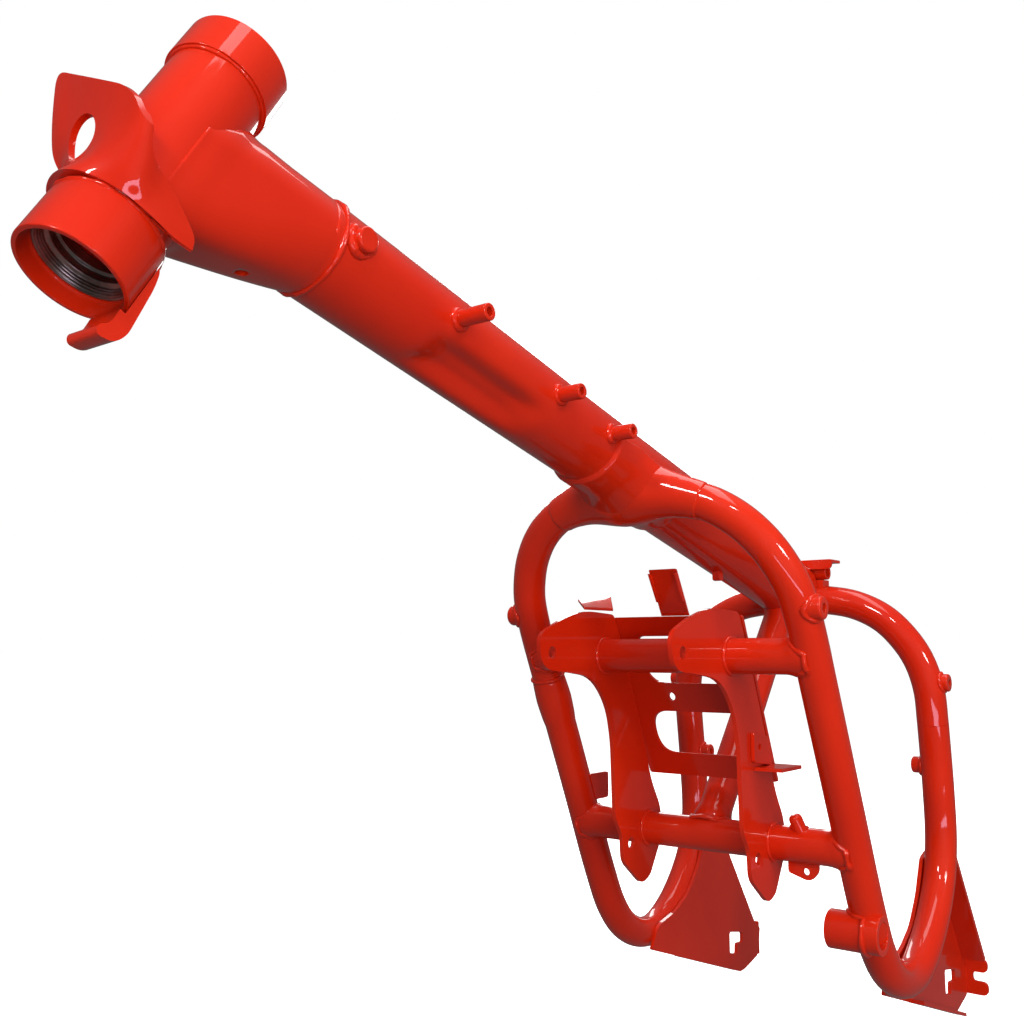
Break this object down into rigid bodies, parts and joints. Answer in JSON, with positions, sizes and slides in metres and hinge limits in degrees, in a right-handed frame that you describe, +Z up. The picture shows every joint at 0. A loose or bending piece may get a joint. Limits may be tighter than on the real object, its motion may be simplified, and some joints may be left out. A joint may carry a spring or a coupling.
{
  "type": "moped backbone frame",
  "caption": "Bare welded steel backbone frame of a small moped: steering head, spine tube, hoop cage, side loops, engine bracket and rear plates.",
  "frame": {"origin": "on the mid plane, under the middle of the frame's box, level with its lowest point", "axes": "+X forward to the steering head, +Y to the rider's left, +Z up"},
  "size_m": [0.8082, 0.25, 0.5778],
  "materials": {
    "red_paint": "glossy red powder coat",
    "bare_steel": "machined bare steel"
  },
  "bodies": {
    "root": {"arch_saddle": "red_paint", "bracket_back_plate": "red_paint", "bracket_cheek_left": "red_paint", "bracket_cheek_right": "red_paint", "cable_strap": "red_paint", "centre_strut": "red_paint", "cheek_side_tab": "red_paint", "cheek_top_tab": "red_paint", "cross_tube_pin": "red_paint", "front_hoop": "red_paint", "hanging_tab": "red_paint", "head_tube": "red_paint", "hoop_boss_left": "red_paint", "hoop_boss_right": "red_paint", "leg_tab": "red_paint", "lower_bearing_cup": "red_paint", "lower_bearing_race": "bare_steel", "lower_cross_tube": "red_paint", "neck_boss": "red_paint", "neck_bracket": "red_paint", "neck_gusset_left": "red_paint", "neck_gusset_right": "red_paint", "pivot_tube": "red_paint", "rear_arch": "red_paint", "rear_arch_boss_left": "red_paint", "rear_arch_boss_right": "red_paint", "rear_leg_boss_left": "red_paint", "rear_leg_boss_right": "red_paint", "rear_plate_left": "red_paint", "rear_plate_right": "red_paint", "seat_bracket_plate": "red_paint", "seat_foot_left": "red_paint", "seat_foot_right": "red_paint", "seat_hinge_tube": "red_paint", "side_loop_left": "red_paint", "side_loop_right": "red_paint", "spine_boss_front": "red_paint", "spine_boss_middle": "red_paint", "spine_boss_rear": "red_paint", "spine_clip": "red_paint", "spine_tube": "red_paint", "steering_stop": "red_paint", "upper_bearing_cup": "red_paint", "upper_bearing_race": "bare_steel", "upper_cross_tube": "red_paint"}
  },
  "joints": []
}
